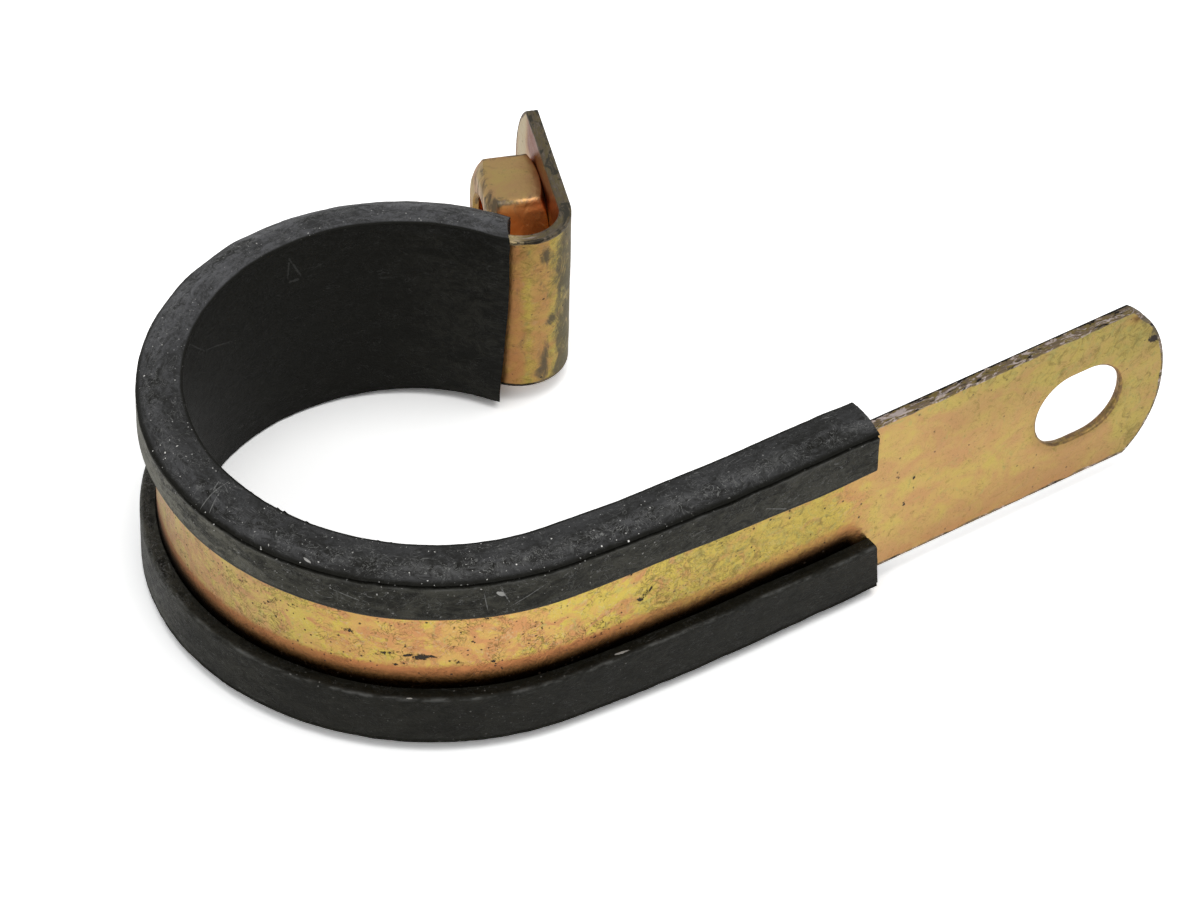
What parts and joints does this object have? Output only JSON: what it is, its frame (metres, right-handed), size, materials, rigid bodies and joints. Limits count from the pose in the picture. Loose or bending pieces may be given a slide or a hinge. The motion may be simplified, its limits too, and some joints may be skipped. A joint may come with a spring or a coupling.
{
  "type": "p clip",
  "caption": "Open rubber-lined P clip: a folded steel strip with a slotted tab, a loop gripped by a rubber liner and a captive hex nut on its short ear.",
  "frame": {"origin": "on the axis of the loop's main arc, halfway across the width of the strip", "axes": "+Z along the loop's axis; +X along the slotted tab, away from the loop; the tab's outer face looks along -Y"},
  "size_m": [0.0766, 0.0507, 0.018],
  "materials": {
    "plated_steel": "yellow zinc plating, satin, mottled and worn at the cut edges",
    "black_rubber": "matt black moulded rubber, lightly scuffed",
    "plated_nut": "yellow zinc plating, satin"
  },
  "bodies": {
    "root": {"steel_strip": "plated_steel", "rubber_liner": "black_rubber", "hex_nut": "plated_nut"}
  },
  "joints": []
}
